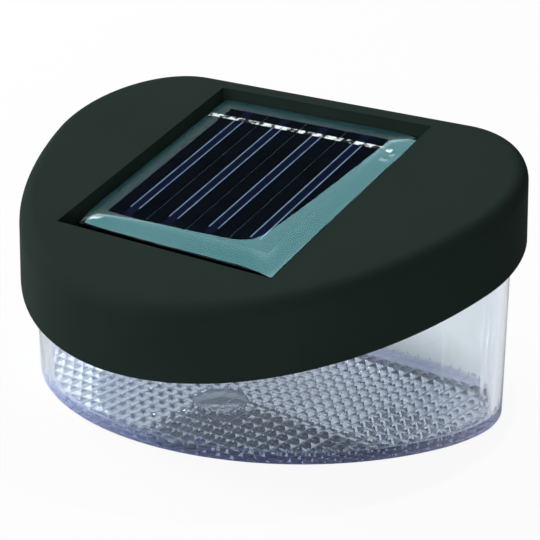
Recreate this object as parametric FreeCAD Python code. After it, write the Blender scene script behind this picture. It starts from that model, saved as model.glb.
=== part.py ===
"""Solar fence light: a clear lens cup that is screwed to the fence, under a sloping cap that lifts off.

Millimetres. X runs along the fence, +Y points at the fence, +Z is up. The origin is at the middle of the
footprint, on the flat bottom of the lens cup. "Level" numbers are heights over the back face: the cap, the
cup's rim and the tray all lie along planes that fall towards the front at the same slope.
"""

import FreeCAD
import Part
import math
import os

from FreeCAD import Vector

# ---- shared plan and slope ------------------------------------------------------------------------------
BACK_Y = 37.0                 # face that lies on the fence
SLOPE_DEG = 18.5              # fall of the cap towards the front
FAR = 200.0                   # half size of the blocks that only cut

# ---- cap ------------------------------------------------------------------------------------------------
CAP_WIDTH = 114.7             # plan of the cap along the skirt's lower edge
CAP_DEPTH = 74.0
CAP_CORNER_R = 22.7
CAP_CORNER_SWEEP = 106.0
CAP_SIDE_R = 65.0
CAP_DRAFT = 1.6
CAP_EDGE_R = 3.0              # round between the top and the skirt
CAP_LEVEL = 55.3
SKIRT_HEIGHT = 14.6
SKIRT_WALL = 2.0
PLATE_THICK = 2.2
SKIRT_LEVEL = CAP_LEVEL - SKIRT_HEIGHT
PLATE_LEVEL = CAP_LEVEL - PLATE_THICK

# ---- recess for the solar panel, in the cap's top ---------------------------------------------------------
RECESS_WIDTH = 55.0
RECESS_BACK_Y = 32.1
RECESS_FRONT_Y = -20.8
RECESS_DEPTH = 3.9            # square to the slope
TUB_WALL = 1.5
WIRE_HOLE_R = 2.5
WIRE_HOLE_X = -14.0
WIRE_HOLE_Y = 7.0

# ---- lens cup -------------------------------------------------------------------------------------------
LENS_WIDTH = 109.2            # plan of the cup at the height LENS_PLAN_Z
LENS_DEPTH = 67.3
LENS_PLAN_Z = 40.0
LENS_CORNER_R = 20.8
LENS_CORNER_SWEEP = 96.0
LENS_SIDE_R = 35.4
LENS_DRAFT = 0.5
LENS_BACK_GAP = 2.3           # from the fence to the cup's back wall
LENS_FLOOR = 2.0
LENS_WALL_LOW = 2.0
LENS_WALL_HIGH = 1.7
LENS_EDGE_R = 0.5
RIM_LEVEL = SKIRT_LEVEL + 4.6

# ---- prism pattern on the cup's floor ---------------------------------------------------------------------
PRISM_PITCH = 2.8
PRISM_HEIGHT = 0.95
PRISM_COUNT_X = 40
PRISM_ROWS = 22
PRISM_REAR_Y = 27.7           # rear edge of the last row
WINDOW_R = 5.6                # smooth window under the right LED
WINDOW_RISE = 0.6

# ---- fixing ears on the cup's back wall -------------------------------------------------------------------
HOLE_SPACING = 52.0
HOLE_R = 2.25
HOLE_Z = 39.9
EAR_WIDTH = 12.0
EAR_FOOT_Z = 34.0
EAR_CLEARANCE = 0.3

# ---- tray and its pod -------------------------------------------------------------------------------------
TRAY_GAP = 0.1                # over the cup's rim
TRAY_THICK = 2.0
TRAY_SIDE_GAP = 0.35
TRAY_LOW_LEVEL = RIM_LEVEL + TRAY_GAP
TRAY_TOP_LEVEL = TRAY_LOW_LEVEL + TRAY_THICK
POD_HALF = 27.0
POD_FRONT_Y = -16.0
POD_BACK_Y = 28.8
POD_FLOOR_Z = 21.5
POD_WALL = 1.5
PARTITION_Y = 13.8
PARTITION_TOP_Z = 34.0
BOSS_R = 3.0
BOSSES = [(-41.5, 18.0), (41.5, 18.0), (-34.0, -10.0), (34.0, -10.0)]
TRAY_SCREW_LENGTH = 7.0
SCREW_CORE_R = 1.05
SCREW_HOLE_R = 1.1
SCREW_HEAD_R = 2.4
SCREW_HEAD_H = 1.7

# ---- battery, its contacts and its door -------------------------------------------------------------------
CELL_R = 5.25
CELL_LENGTH = 44.5
CELL_Y = 21.3
CELL_Z = 28.6
SLEEVE_WALL = 0.2
NUB_R = 1.9
NUB_LENGTH = 0.8
CONTACT_THICK = 0.4
DOOR_GAP = 0.25
DOOR_THICK = 1.5
HINGE_Y = 26.4
HINGE_R = 0.75
HINGE_HOLE_R = 0.82
HINGE_Z = POD_FLOOR_Z + DOOR_THICK / 2

# ---- circuit board and what it carries --------------------------------------------------------------------
BOARD_Z = 27.0
BOARD_THICK = 1.2
BOARD_HALF_X = 23.0
BOARD_FRONT_Y = -14.2
BOARD_BACK_Y = 12.8
BOARD_TOP_Z = BOARD_Z + BOARD_THICK
POST_X = 19.5
POST_Y = 4.0
REST_Y = -11.0
LED_X = 6.3
LED_Y = -10.0
LED_R = 2.5
LED_FLANGE_R = 2.9
LED_FLANGE_Z = 24.9
LED_HEIGHT = 8.6
LEAD_PITCH = 2.54
LEAD_SIDE = 0.5
SWITCH_Y = 5.0
SWITCH_TRAVEL = 2.0
SWITCH_FOOT_Z = 23.6
CHOKE_X = -12.0
CHOKE_Y = -6.0
CHIP_X = 9.0
CHIP_Y = 1.0
PANEL_PADS = [(-16.0, 8.5), (-12.5, 8.5)]     # where each pair of wires meets the board
BATTERY_PADS = [(-20.0, 9.5), (20.0, 9.5)]

# ---- solar panel, in the slope's own frame: u along X, v up the slope, w out of the cap's top ---------------
PANEL_WIDTH = 51.0
PANEL_LENGTH = 50.8
PANEL_U = -0.5
PANEL_V = 7.0
ADHESIVE_THICK = 0.35
PANEL_BOARD_THICK = 1.0
SOLAR_THICK = 0.25
EPOXY_THICK = 1.2
SOLAR_COUNT = 4
SOLAR_PITCH = 10.4
SOLAR_WIDTH = 10.1
SOLAR_LENGTH = 42.0
SOLAR_FIRST_U = -16.5
SOLAR_BACK_V = 28.8
BUSBAR_WIDTH = 0.28
BUSBAR_THICK = 0.05
BUSBAR_HALF_GAP = 1.14
BUSBAR_LENGTH = 35.4
RIBBON_V = 25.5
RIBBON_ROW = (-25.1, 22.7)      # where the row of ribbons starts and ends
RIBBON_GAP = 0.4
RIBBON_WIDTH = 1.1
RIBBON_THICK = 0.15
BOARD_W = -RECESS_DEPTH + ADHESIVE_THICK
SOLAR_W = BOARD_W + PANEL_BOARD_THICK

WIRE_R = 0.55
NUDGE = 0.02                  # air between pieces that would otherwise share a face

SLOPE = math.radians(SLOPE_DEG)
FALL = math.tan(SLOPE)


# ---- plan outlines ----------------------------------------------------------------------------------------
class DOutline:
    """A flat back, then a corner arc, a side arc and one arc across the front, all tangent, both sides alike.

    Arc points are centre + radius * (sin t, cos t), with t counted from +Y and growing towards the front.
    """

    def __init__(self, width, depth, back_y, corner_r, corner_sweep, side_r):
        first = math.radians(corner_sweep)
        spread = corner_r - side_r
        if first >= math.pi / 2:
            half_flat = width / 2 - corner_r
        else:
            half_flat = width / 2 - side_r - spread * math.sin(first)
        self.back_y = back_y
        self.half_flat = half_flat
        side_x = half_flat + spread * math.sin(first)
        side_y = back_y - corner_r + spread * math.cos(first)
        lift = side_y - back_y + depth - side_r
        second = 2 * math.atan2(abs(side_x), math.copysign(lift, lift * side_x))
        front_r = side_r + side_x / math.sin(second)
        self.arcs = [
            (half_flat, back_y - corner_r, corner_r, 0.0, first),
            (side_x, side_y, side_r, first, second),
            (0.0, back_y - depth + front_r, front_r, second, 2 * math.pi - second),
        ]

    def wire(self, z, inset=0.0):
        """The closed outline at height z, moved inwards by inset all round."""
        edges = []
        sides = self.arcs + [(-x, y, r, 2 * math.pi - end, 2 * math.pi - start)
                             for x, y, r, start, end in reversed(self.arcs[:2])]
        for x, y, r, start, end in sides:
            points = []
            for t in (start, (start + end) / 2, end):
                points.append(Vector(x + (r - inset) * math.sin(t), y + (r - inset) * math.cos(t), z))
            edges.append(Part.Arc(*points).toShape())
        left = Vector(-self.half_flat, self.back_y - inset, z)
        right = Vector(self.half_flat, self.back_y - inset, z)
        edges.append(Part.LineSegment(left, right).toShape())
        return Part.Wire(edges)


def plane_z(level, y):
    """Height at y of the sloping plane that stands at this level over the back face."""
    return level + FALL * (y - BACK_Y)


CAP_OUTLINE = DOutline(CAP_WIDTH, CAP_DEPTH, BACK_Y, CAP_CORNER_R, CAP_CORNER_SWEEP, CAP_SIDE_R)
LENS_OUTLINE = DOutline(LENS_WIDTH, LENS_DEPTH, BACK_Y - LENS_BACK_GAP, LENS_CORNER_R, LENS_CORNER_SWEEP, LENS_SIDE_R)


def cap_wire(level, inset):
    """Plan of the cap at a level, moved inwards by inset. It is narrowest at the top."""
    draw = (level - SKIRT_LEVEL) * math.tan(math.radians(CAP_DRAFT))
    return CAP_OUTLINE.wire(level, inset + draw)


def lens_wire(z, inset):
    """Plan of the lens cup at height z, moved inwards by inset."""
    draw = (LENS_PLAN_Z - z) * math.tan(math.radians(LENS_DRAFT))
    return LENS_OUTLINE.wire(z, inset + draw)


def tapered(wire_at, low, high, inset_low=0.0, inset_high=None):
    """Solid between two heights whose wall follows the drafted plan, moved inwards by the given insets."""
    if inset_high is None:
        inset_high = inset_low
    return Part.makeLoft([wire_at(low, inset_low), wire_at(high, inset_high)], True, True)


# ---- small shapes -----------------------------------------------------------------------------------------
def block(x0, x1, y0, y1, z0, z1):
    """Box between two corners."""
    return Part.makeBox(x1 - x0, y1 - y0, z1 - z0, Vector(x0, y0, z0))


def cylinder(x, y, z0, z1, radius):
    """Upright cylinder between two heights."""
    return Part.makeCylinder(radius, z1 - z0, Vector(x, y, z0))


def cylinder_x(x0, x1, y, z, radius):
    """Cylinder along X."""
    return Part.makeCylinder(radius, x1 - x0, Vector(x0, y, z), Vector(1, 0, 0))


def slab(low_level, high_level):
    """Everything between two sloping planes."""
    corners = [
        Vector(-FAR, -FAR, plane_z(low_level, -FAR)),
        Vector(-FAR, FAR, plane_z(low_level, FAR)),
        Vector(-FAR, FAR, plane_z(high_level, FAR)),
        Vector(-FAR, -FAR, plane_z(high_level, -FAR)),
    ]
    face = Part.Face(Part.makePolygon(corners + corners[:1]))
    return face.extrude(Vector(2 * FAR, 0, 0))


def sheared(shape):
    """Turns level surfaces into sloping ones: upright lines stay upright and move down towards the front."""
    fall = FreeCAD.Matrix()
    fall.A32 = FALL
    fall.A34 = -FALL * BACK_Y
    return shape.transformGeometry(fall)


def cap_body(low_level, high_level, inset):
    """Everything between two sloping planes that lies inside the cap's plan, moved inwards by inset."""
    return sheared(tapered(cap_wire, low_level, high_level, inset))


def on_slope(shape):
    """Moves a shape from the slope's frame (u, v, w) to its place on the cap's top plane."""
    placed = shape.copy()
    placed.rotate(Vector(0, 0, 0), Vector(1, 0, 0), SLOPE_DEG)
    placed.translate(Vector(0, 0, plane_z(CAP_LEVEL, 0)))
    return placed


def revolved(profile, base, axis):
    """Solid of revolution: the profile lists (distance along the axis, radius) from end to end."""
    points = [Vector(along, radius, 0) for along, radius in profile]
    points = [Vector(profile[0][0], 0, 0)] + points + [Vector(profile[-1][0], 0, 0)]
    clean = [points[0]]
    for point in points[1:]:
        if point.distanceToPoint(clean[-1]) > 1e-6:
            clean.append(point)
    face = Part.Face(Part.makePolygon(clean + clean[:1]))
    solid = face.revolve(Vector(0, 0, 0), Vector(1, 0, 0), 360)
    turn = FreeCAD.Rotation(Vector(1, 0, 0), axis)
    solid.Placement = FreeCAD.Placement(base, turn)
    return solid


def bent_tube(points, radius):
    """Round tube along straight runs joined by tangent arcs, each as large as its two runs allow."""
    edges = []
    start = points[0]
    for before, corner, after in zip(points, points[1:], points[2:]):
        come = (corner - before).normalize()
        leave = (after - corner).normalize()
        turn = come.getAngle(leave)
        cut = 0.45 * min((corner - before).Length, (after - corner).Length)
        bend_r = cut / math.tan(turn / 2)
        first = corner - come * cut
        last = corner + leave * cut
        inward = (leave - come).normalize()
        centre = corner + inward * (bend_r / math.cos(turn / 2))
        middle = centre - inward * bend_r
        edges.append(Part.LineSegment(start, first).toShape())
        edges.append(Part.Arc(first, middle, last).toShape())
        start = last
    edges.append(Part.LineSegment(start, points[-1]).toShape())
    ring = Part.Wire(Part.makeCircle(radius, points[0], points[1] - points[0]))
    return Part.Wire(edges).makePipeShell([ring], True, False)


def pan_screw(x, y, seat_z, length, core_r, head_r, head_h, upwards):
    """Cross-slotted pan-head screw: the head's flat sits at seat_z and the core runs up or down from it."""
    way = 1 if upwards else -1
    axis = Vector(0, 0, way)
    rim = head_h * 0.45
    profile = [(-head_h, head_r * 0.55), (-rim, head_r), (0, head_r), (0, core_r),
               (length - core_r, core_r), (length, core_r * 0.3)]
    screw = revolved(profile, Vector(x, y, seat_z), axis)
    slot = head_h * 0.5
    low, high = sorted((seat_z - way * head_h, seat_z - way * (head_h - slot)))
    for half_x, half_y in ((head_r * 0.5, head_r * 0.12), (head_r * 0.12, head_r * 0.5)):
        screw = screw.cut(block(x - half_x, x + half_x, y - half_y, y + half_y, low, high))
    return screw


# ---- lens cup ---------------------------------------------------------------------------------------------
def comb(teeth, length):
    """Plate with a row of ridges on top: teeth side by side along X, each as long as length along Y."""
    half = teeth * PRISM_PITCH / 2
    valley = LENS_FLOOR + NUDGE
    points = [Vector(-half, 0, LENS_FLOOR / 2), Vector(-half, 0, valley)]
    for tooth in range(teeth):
        left = -half + tooth * PRISM_PITCH
        points.append(Vector(left + PRISM_PITCH / 2, 0, valley + PRISM_HEIGHT))
        points.append(Vector(left + PRISM_PITCH, 0, valley))
    points.append(Vector(half, 0, LENS_FLOOR / 2))
    plate = Part.Face(Part.makePolygon(points + points[:1])).extrude(Vector(0, length, 0))
    plate.translate(Vector(0, -length / 2, 0))
    return plate


def prism_field():
    """Rows of four-sided pyramids over the cup's floor, up to its wall, with one smooth window."""
    across = comb(PRISM_COUNT_X, PRISM_ROWS * PRISM_PITCH)
    along = comb(PRISM_ROWS, PRISM_COUNT_X * PRISM_PITCH)
    along.rotate(Vector(0, 0, 0), Vector(0, 0, 1), 90)
    field = across.common(along)
    field.translate(Vector(0, PRISM_REAR_Y - PRISM_ROWS * PRISM_PITCH / 2, 0))
    inside = tapered(lens_wire, 0.5, 5.0, LENS_WALL_LOW + 0.6)
    field = field.common(inside)
    ball_r = (WINDOW_R ** 2 + WINDOW_RISE ** 2) / (2 * WINDOW_RISE)
    field = field.cut(cylinder(LED_X, LED_Y, 0, 6, WINDOW_R))
    dome = Part.makeSphere(ball_r, Vector(LED_X, LED_Y, LENS_FLOOR + WINDOW_RISE - ball_r))
    window = dome.common(cylinder(LED_X, LED_Y, LENS_FLOOR / 2, 6, WINDOW_R - 0.2))
    return field.fuse(window)


def lens_outer(inset=0.0):
    """Outside of the cup, up to the rim's plane."""
    return tapered(lens_wire, 0.0, 60.0, inset)


def lens_cup():
    """Clear cup with a prism floor, a sloping rim and two fixing ears."""
    shell = lens_outer()
    foot = [edge for edge in shell.Edges if edge.BoundBox.ZMax < 1e-3]
    shell = shell.makeFillet(LENS_EDGE_R, foot)
    hollow = tapered(lens_wire, LENS_FLOOR, 70.0, LENS_WALL_LOW, LENS_WALL_HIGH)
    cup = shell.cut(hollow)
    for side in (-1, 1):
        x = side * HOLE_SPACING / 2
        ear = block(x - EAR_WIDTH / 2, x + EAR_WIDTH / 2, BACK_Y - LENS_BACK_GAP - 1.0, BACK_Y, EAR_FOOT_Z, 60.0)
        cup = cup.fuse(ear)
    cup = cup.common(slab(-FAR, RIM_LEVEL))
    for side in (-1, 1):
        hole = Part.makeCylinder(HOLE_R, 12.0, Vector(side * HOLE_SPACING / 2, BACK_Y + 2, HOLE_Z), Vector(0, -1, 0))
        cup = cup.cut(hole)
    return cup.fuse(prism_field())


# ---- cap --------------------------------------------------------------------------------------------------
def cap_block():
    """The cap's outside as one solid, with its top edge rounded."""
    body = tapered(cap_wire, SKIRT_LEVEL, CAP_LEVEL)
    top = [edge for edge in body.Edges if edge.BoundBox.ZMin > CAP_LEVEL - 0.01]
    return sheared(body.makeFillet(CAP_EDGE_R, top))


def recess_box(grow, low_level, high_level):
    """Upright box round the recess, grown sideways and cut to two levels."""
    half = RECESS_WIDTH / 2 + grow
    box = block(-half, half, RECESS_FRONT_Y - grow, RECESS_BACK_Y + grow, 0, 80)
    return box.common(slab(low_level, high_level))


def cap_ribs():
    """Upright ribs inside the skirt's front that centre the cap on the lens cup."""
    keep_out = lens_outer(-0.35)
    room = cap_body(SKIRT_LEVEL + 0.8, TRAY_LOW_LEVEL - TRAY_GAP, SKIRT_WALL - 0.2)
    ribs = []
    for x in (-34.0, -17.0, 0.0, 17.0, 34.0):
        rib = block(x - 0.7, x + 0.7, -60, 0, 0, 80).common(room).cut(keep_out)
        ribs.extend(rib.Solids)
    return ribs


def top_cover():
    """Sloping cap: skirt, top plate, recess for the panel, screw bosses and ribs."""
    recess_level = CAP_LEVEL - RECESS_DEPTH / math.cos(SLOPE)
    tub_level = recess_level - TUB_WALL
    cover = cap_block()
    hollow = cap_body(SKIRT_LEVEL - 1, PLATE_LEVEL, SKIRT_WALL)
    hollow = hollow.cut(recess_box(TUB_WALL, tub_level, CAP_LEVEL + 10))
    for x, y in BOSSES:
        hollow = hollow.cut(cylinder(x, y, 0, 80, BOSS_R).common(slab(TRAY_TOP_LEVEL, CAP_LEVEL)))
    cover = cover.cut(hollow)
    cover = cover.cut(recess_box(0.0, recess_level, CAP_LEVEL + 10))
    cover = cover.cut(cylinder(WIRE_HOLE_X, WIRE_HOLE_Y, 0, 80, WIRE_HOLE_R))
    for x, y in BOSSES:
        seat = plane_z(TRAY_TOP_LEVEL, y)
        cover = cover.cut(cylinder(x, y, seat - 5, seat + TRAY_SCREW_LENGTH - TRAY_THICK, SCREW_HOLE_R))
    for side in (-1, 1):
        half = EAR_WIDTH / 2 + EAR_CLEARANCE
        x = side * HOLE_SPACING / 2
        notch = block(x - half, x + half, BACK_Y - SKIRT_WALL - 0.5, BACK_Y + 5, 0, 80)
        cover = cover.cut(notch.common(slab(-FAR, RIM_LEVEL + EAR_CLEARANCE)))
    return cover.multiFuse(cap_ribs())


# ---- tray -------------------------------------------------------------------------------------------------
def pod_shell():
    """Box under the tray, open at the top: the electronics in front and the battery chamber behind."""
    ceiling = slab(-FAR, TRAY_TOP_LEVEL)
    pod = block(-POD_HALF, POD_HALF, POD_FRONT_Y, POD_BACK_Y, POD_FLOOR_Z, 80).common(ceiling)
    inner = POD_HALF - POD_WALL
    front_room = block(-inner, inner, POD_FRONT_Y + POD_WALL, PARTITION_Y, POD_FLOOR_Z + POD_WALL, 80)
    back_room = block(-inner, inner, PARTITION_Y + POD_WALL, POD_BACK_Y - POD_WALL, 0, 80)
    over = block(-inner, inner, PARTITION_Y - 1, PARTITION_Y + POD_WALL + 1, PARTITION_TOP_Z, 80)
    return pod, front_room.fuse(over).fuse(back_room)


def tray_details():
    """What stands inside the pod: posts and rests for the board, door stops and contact guides."""
    floor = POD_FLOOR_Z + POD_WALL
    inner = POD_HALF - POD_WALL
    chamber_y = PARTITION_Y + POD_WALL
    solids = []
    for side in (-1, 1):
        solids.append(cylinder(side * POST_X, POST_Y, floor - 0.5, BOARD_Z, 2.4))
        solids.append(cylinder(side * POST_X, REST_Y, floor - 0.5, BOARD_Z, 1.5))
        stop_in, stop_out = sorted((side * 9.0, side * 20.0))
        solids.append(block(stop_in, stop_out, chamber_y - 0.5, chamber_y + 0.7, floor + 0.05, floor + 1.0))
        guide_in, guide_out = sorted((side * (inner - 1.2), side * (inner + 0.5)))
        for guide_y in (chamber_y + 0.2, CELL_Y + 4.7):
            solids.append(block(guide_in, guide_out, guide_y, guide_y + 0.9, floor + 1.6, PARTITION_TOP_Z))
    return solids


def base_tray():
    """Plate that closes the cap from below, with the pod that hangs from it."""
    plate = cap_body(TRAY_LOW_LEVEL, TRAY_TOP_LEVEL, SKIRT_WALL + TRAY_SIDE_GAP)
    for side in (-1, 1):
        x = side * HOLE_SPACING / 2
        plate = plate.cut(block(x - 7.0, x + 7.0, POD_BACK_Y + 0.5, BACK_Y, 0, 80))
    pod, rooms = pod_shell()
    tray = plate.fuse(pod).cut(rooms)
    tray = tray.multiFuse(tray_details())
    for x, y in BOSSES:
        tray = tray.cut(cylinder(x, y, 0, 80, SCREW_HOLE_R + 0.25))
    for side in (-1, 1):
        tray = tray.cut(cylinder(side * LED_X, LED_Y, 0, POD_FLOOR_Z + 3, LED_R + 0.25))
        tray = tray.cut(cylinder(side * POST_X, POST_Y, BOARD_Z - 3.5, BOARD_Z, 0.8))
        pin_in, pin_out = sorted((side * (POD_HALF - POD_WALL - 1), side * (POD_HALF - 0.3)))
        tray = tray.cut(cylinder_x(pin_in, pin_out, HINGE_Y, HINGE_Z, HINGE_HOLE_R))
    slot_half = SWITCH_TRAVEL / 2 + 1.1
    return tray.cut(block(-slot_half, slot_half, SWITCH_Y - 1.1, SWITCH_Y + 1.1, 0, POD_FLOOR_Z + 2))


def tray_screws():
    """Four screws from below, through the tray into the cap's bosses."""
    screws = []
    for x, y in BOSSES:
        seat = plane_z(TRAY_LOW_LEVEL, y - SCREW_HEAD_R) - NUDGE
        screws.append(pan_screw(x, y, seat, TRAY_SCREW_LENGTH, SCREW_CORE_R, SCREW_HEAD_R, SCREW_HEAD_H, True))
    return screws


# ---- battery chamber --------------------------------------------------------------------------------------
def battery_door():
    """Door in the pod's underside: hinge pins at the back, a tongue and a finger notch in front."""
    half = POD_HALF - POD_WALL - DOOR_GAP
    front = PARTITION_Y + POD_WALL + DOOR_GAP
    door = block(-half, half, front, HINGE_Y, POD_FLOOR_Z, POD_FLOOR_Z + DOOR_THICK)
    door = door.fuse(cylinder_x(-half, half, HINGE_Y, HINGE_Z, HINGE_R))
    reach = POD_HALF - 0.4
    door = door.fuse(cylinder_x(-reach, reach, HINGE_Y, HINGE_Z, HINGE_R))
    door = door.fuse(block(-5.0, 5.0, front + 0.3, front + 1.2, POD_FLOOR_Z + 0.5, POD_FLOOR_Z + 3.6))
    notch = cylinder_x(-4.0, 4.0, front, POD_FLOOR_Z - 0.4, 1.1)
    door = door.cut(notch)
    for row in range(4):
        y = front + 3.0 + row * 1.6
        door = door.cut(block(-6.0, 6.0, y, y + 0.7, POD_FLOOR_Z - 1, POD_FLOOR_Z + 0.35))
    return door.removeSplitter()


def cell_start_x():
    """X of the battery's positive tip."""
    return -POD_HALF + POD_WALL + CONTACT_THICK + NUDGE


def battery_cell():
    """Rechargeable AAA cell: can, shoulder and positive nub."""
    can_r = CELL_R - SLEEVE_WALL - NUDGE
    profile = [(0, NUB_R), (NUB_LENGTH, NUB_R), (NUB_LENGTH, can_r - 0.6), (NUB_LENGTH + 0.6, can_r),
               (CELL_LENGTH - 0.4, can_r), (CELL_LENGTH, can_r - 0.4)]
    return revolved(profile, Vector(cell_start_x(), CELL_Y, CELL_Z), Vector(1, 0, 0))


def battery_sleeve():
    """Shrink sleeve round the cell's can."""
    start = cell_start_x() + NUB_LENGTH + 0.7
    end = cell_start_x() + CELL_LENGTH - 0.5
    tube = cylinder_x(start, end, CELL_Y, CELL_Z, CELL_R)
    return tube.cut(cylinder_x(start - 1, end + 1, CELL_Y, CELL_Z, CELL_R - SLEEVE_WALL))


def contact_sheet(side):
    """Sheet-metal contact against one end wall of the battery chamber, with a solder tab on top."""
    wall = POD_HALF - POD_WALL - NUDGE
    x0, x1 = sorted((side * wall, side * (wall - CONTACT_THICK + NUDGE)))
    y0 = PARTITION_Y + POD_WALL + 1.2
    y1 = CELL_Y + 4.6
    sheet = block(x0, x1, y0, y1, POD_FLOOR_Z + DOOR_THICK + 0.7, PARTITION_TOP_Z)
    return sheet.fuse(block(x0, x1, y0 + 0.6, y0 + 3.2, PARTITION_TOP_Z - 1, PARTITION_TOP_Z + 3.5))


def contact_spring():
    """Coil spring between the negative contact and the cell."""
    wire_r = 0.35
    turns = 3.5
    start = cell_start_x() + CELL_LENGTH + wire_r + NUDGE
    end = POD_HALF - POD_WALL - CONTACT_THICK - wire_r - NUDGE
    pitch = (end - start) / turns
    helix = Part.makeHelix(pitch, end - start, 3.0)
    ring = Part.Wire(Part.makeCircle(wire_r, Vector(3.0, 0, 0), Vector(0, 1, 0)))
    coil = Part.Wire(helix.Edges).makePipeShell([ring], True, True)
    coil.Placement = FreeCAD.Placement(Vector(start, CELL_Y, CELL_Z), FreeCAD.Rotation(Vector(0, 1, 0), 90))
    return coil


# ---- circuit board and its parts --------------------------------------------------------------------------
def lead_places():
    """(x, y) of the four LED leads."""
    return [(side * LED_X + end * LEAD_PITCH / 2, LED_Y) for side in (-1, 1) for end in (-1, 1)]


def circuit_board():
    """Rigid board with holes for its screws and the LED leads."""
    board = block(-BOARD_HALF_X, BOARD_HALF_X, BOARD_FRONT_Y, BOARD_BACK_Y, BOARD_Z, BOARD_TOP_Z)
    for side in (-1, 1):
        board = board.cut(cylinder(side * POST_X, POST_Y, 0, 80, 1.15))
    for x, y in lead_places():
        board = board.cut(cylinder(x, y, 0, 80, 0.4))
    return board


def board_screws():
    """Two screws that hold the board on its posts."""
    return [pan_screw(side * POST_X, POST_Y, BOARD_TOP_Z + NUDGE, 4.4, 0.78, 1.9, 1.3, False) for side in (-1, 1)]


def led(side):
    """5 mm LED that points down: flange, barrel and domed tip."""
    x = side * LED_X
    tip = LED_FLANGE_Z - LED_HEIGHT
    body = cylinder(x, LED_Y, tip + LED_R, LED_FLANGE_Z, LED_R)
    body = body.fuse(Part.makeSphere(LED_R, Vector(x, LED_Y, tip + LED_R)))
    body = body.fuse(cylinder(x, LED_Y, LED_FLANGE_Z - 1.0, LED_FLANGE_Z, LED_FLANGE_R))
    return body.removeSplitter()


def led_leads():
    """Square leads of both LEDs, from the flanges up through the board."""
    half = LEAD_SIDE / 2
    return [block(x - half, x + half, y - half, y + half, LED_FLANGE_Z + NUDGE, BOARD_TOP_Z + 0.9)
            for x, y in lead_places()]


def switch_body():
    """Housing of the slide switch, on the board's underside, hollow where the slider runs."""
    body = block(-4.3, 4.3, SWITCH_Y - 2.2, SWITCH_Y + 2.2, SWITCH_FOOT_Z, BOARD_Z - NUDGE)
    run = SWITCH_TRAVEL / 2 + 1.35
    body = body.cut(block(-run, run, SWITCH_Y - 1.1, SWITCH_Y + 1.1, SWITCH_FOOT_Z + 0.4, SWITCH_FOOT_Z + 1.5))
    mouth = SWITCH_TRAVEL / 2 + 1.0
    return body.cut(block(-mouth, mouth, SWITCH_Y - 0.95, SWITCH_Y + 0.95, SWITCH_FOOT_Z - 1, SWITCH_FOOT_Z + 0.6))


def switch_slider():
    """Slider of the switch, at its off end, with its tip below the pod."""
    x = -SWITCH_TRAVEL / 2
    foot = block(x - 1.2, x + 1.2, SWITCH_Y - 0.95, SWITCH_Y + 0.95, SWITCH_FOOT_Z + 0.5, SWITCH_FOOT_Z + 1.4)
    stem = block(x - 0.8, x + 0.8, SWITCH_Y - 0.8, SWITCH_Y + 0.8, POD_FLOOR_Z - 1.2, SWITCH_FOOT_Z + 0.6)
    return foot.fuse(stem)


def choke():
    """Axial choke that lies on the board, its two leads bent down to their pads."""
    z = BOARD_TOP_Z + 1.6
    profile = [(-3.4, 1.0), (-2.9, 1.3), (-2.0, 1.3), (-1.6, 1.15), (1.6, 1.15), (2.0, 1.3), (2.9, 1.3), (3.4, 1.0)]
    body = revolved(profile, Vector(CHOKE_X, CHOKE_Y, z), Vector(1, 0, 0))
    for side in (-1, 1):
        points = [Vector(CHOKE_X + side * 3.0, CHOKE_Y, z), Vector(CHOKE_X + side * 5.0, CHOKE_Y, z),
                  Vector(CHOKE_X + side * 5.0, CHOKE_Y, BOARD_TOP_Z + NUDGE)]
        body = body.fuse(bent_tube(points, 0.25))
    return body


def driver_chip():
    """Small driver chip with two rows of gull-wing legs."""
    low = BOARD_TOP_Z + 0.25
    chip = block(CHIP_X - 2.5, CHIP_X + 2.5, CHIP_Y - 2.0, CHIP_Y + 2.0, low, low + 1.4)
    for column in range(4):
        x = CHIP_X - 1.905 + column * 1.27
        for side in (-1, 1):
            y0, y1 = sorted((CHIP_Y + side * 1.8, CHIP_Y + side * 2.9))
            chip = chip.fuse(block(x - 0.2, x + 0.2, y0, y1, low + 0.4, low + 0.6))
            y0, y1 = sorted((CHIP_Y + side * 2.7, CHIP_Y + side * 2.9))
            chip = chip.fuse(block(x - 0.2, x + 0.2, y0, y1, BOARD_TOP_Z + NUDGE, low + 0.6))
            y0, y1 = sorted((CHIP_Y + side * 2.7, CHIP_Y + side * 3.4))
            chip = chip.fuse(block(x - 0.2, x + 0.2, y0, y1, BOARD_TOP_Z + NUDGE, BOARD_TOP_Z + 0.2))
    return chip.removeSplitter()


def panel_wire(index):
    """Wire from the back of the solar panel, through the recess's hole, down to the board."""
    pad_x, pad_y = PANEL_PADS[index]
    x = WIRE_HOLE_X + (index - 0.5) * 1.6
    under_panel = plane_z(CAP_LEVEL, WIRE_HOLE_Y) + (BOARD_W / math.cos(SLOPE)) - 0.3
    points = [Vector(x, WIRE_HOLE_Y, under_panel), Vector(x, WIRE_HOLE_Y, 36.5), Vector(pad_x, pad_y, 32.0),
              Vector(pad_x, pad_y, BOARD_TOP_Z + NUDGE)]
    return bent_tube(points, WIRE_R)


def battery_wire(side):
    """Wire from a battery contact's solder tab, over the partition, down to the board."""
    tab_x = side * (POD_HALF - POD_WALL - CONTACT_THICK - WIRE_R - 2 * NUDGE)
    tab_y = PARTITION_Y + POD_WALL + 3.1
    pad_x, pad_y = BATTERY_PADS[(side + 1) // 2]
    points = [Vector(tab_x, tab_y, PARTITION_TOP_Z + 1.0), Vector(tab_x, tab_y, PARTITION_TOP_Z + 4.2),
              Vector(pad_x, pad_y, PARTITION_TOP_Z + 1.2), Vector(pad_x, pad_y, BOARD_TOP_Z + NUDGE)]
    return bent_tube(points, WIRE_R)


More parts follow.
